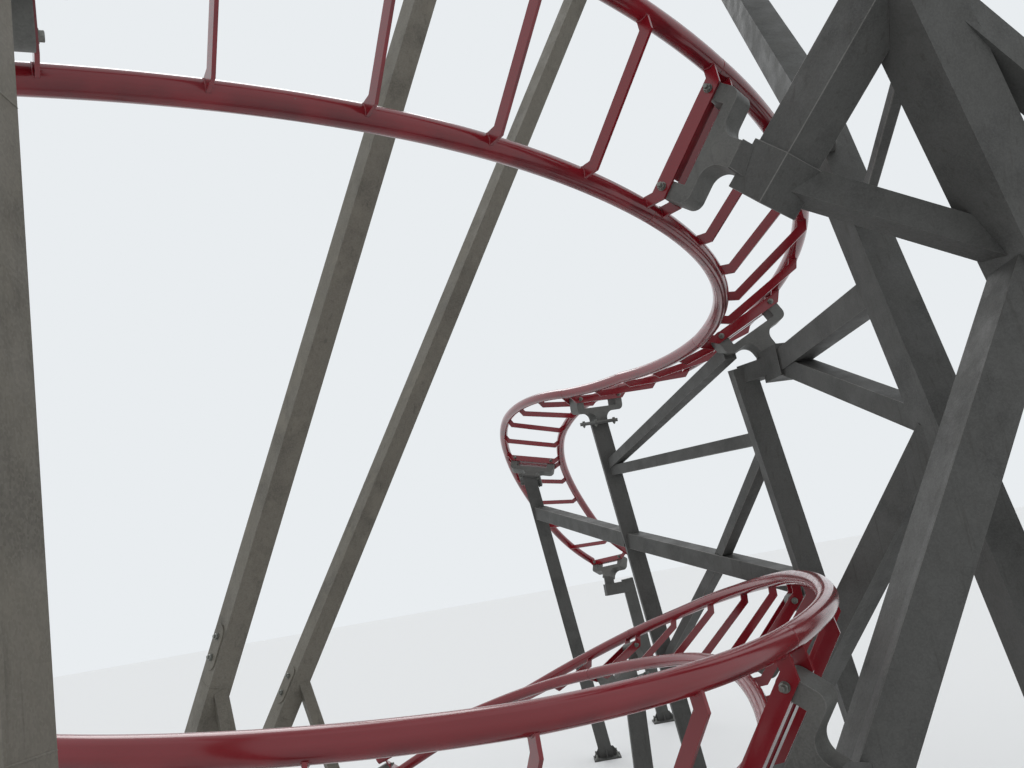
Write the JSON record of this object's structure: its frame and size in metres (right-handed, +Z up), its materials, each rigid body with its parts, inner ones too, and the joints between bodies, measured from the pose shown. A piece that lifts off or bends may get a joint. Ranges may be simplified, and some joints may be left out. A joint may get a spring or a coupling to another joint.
{
  "type": "roller coaster track section",
  "caption": "Section of roller coaster track: two banked turns of round rails, one above the other, on braced galvanised box-section columns with base plates.",
  "frame": {"origin": "on the floor at the centre of the left post's base plate", "axes": "+Z up, +Y level along the longest run of the upper track, away from the camera, +X to the right"},
  "size_m": [9.7055, 18.818, 11.1457],
  "materials": {
    "track_paint": "gloss",
    "galvanised_steel": "matte"
  },
  "bodies": {
    "root": {"upper_rails_1": "track_paint", "upper_rails_2": "track_paint", "upper_rails_3": "track_paint", "upper_rails_4": "track_paint", "upper_rails_5": "track_paint", "upper_ties_1": "track_paint", "upper_ties_2": "track_paint", "upper_ties_3": "track_paint", "upper_ties_4": "track_paint", "upper_ties_5": "track_paint", "lower_rails_1": "track_paint", "lower_rails_2": "track_paint", "lower_rails_3": "track_paint", "lower_rails_4": "track_paint", "lower_ties_1": "track_paint", "lower_ties_2": "track_paint", "lower_ties_3": "track_paint", "lower_ties_4": "track_paint", "upper_head_1": "galvanised_steel", "upper_head_2": "galvanised_steel", "upper_head_3": "galvanised_steel", "upper_head_4": "galvanised_steel", "upper_head_5": "galvanised_steel", "upper_head_6": "galvanised_steel", "lower_head_1": "galvanised_steel", "lower_head_2": "galvanised_steel", "lower_head_3": "galvanised_steel", "lower_head_4": "galvanised_steel", "lower_head_5": "galvanised_steel", "left_post": "galvanised_steel", "right_leg": "galvanised_steel", "left_leg": "galvanised_steel", "front_leg": "galvanised_steel", "cross_tie": "galvanised_steel", "outer_beam": "galvanised_steel", "rear_column": "galvanised_steel", "rear_leg": "galvanised_steel", "braces": "galvanised_steel", "frame_stays": "galvanised_steel", "column_3": "galvanised_steel", "column_4": "galvanised_steel", "column_5": "galvanised_steel", "column_6": "galvanised_steel", "long_beam": "galvanised_steel", "light_bars": "galvanised_steel", "diagonal_bar": "galvanised_steel", "lower_post_1": "galvanised_steel", "lower_post_4": "galvanised_steel", "lower_post_5": "galvanised_steel", "raking_column_1": "galvanised_steel", "raking_column_2": "galvanised_steel", "short_leg_1": "galvanised_steel", "short_leg_2": "galvanised_steel", "top_beam": "galvanised_steel"}
  },
  "joints": []
}
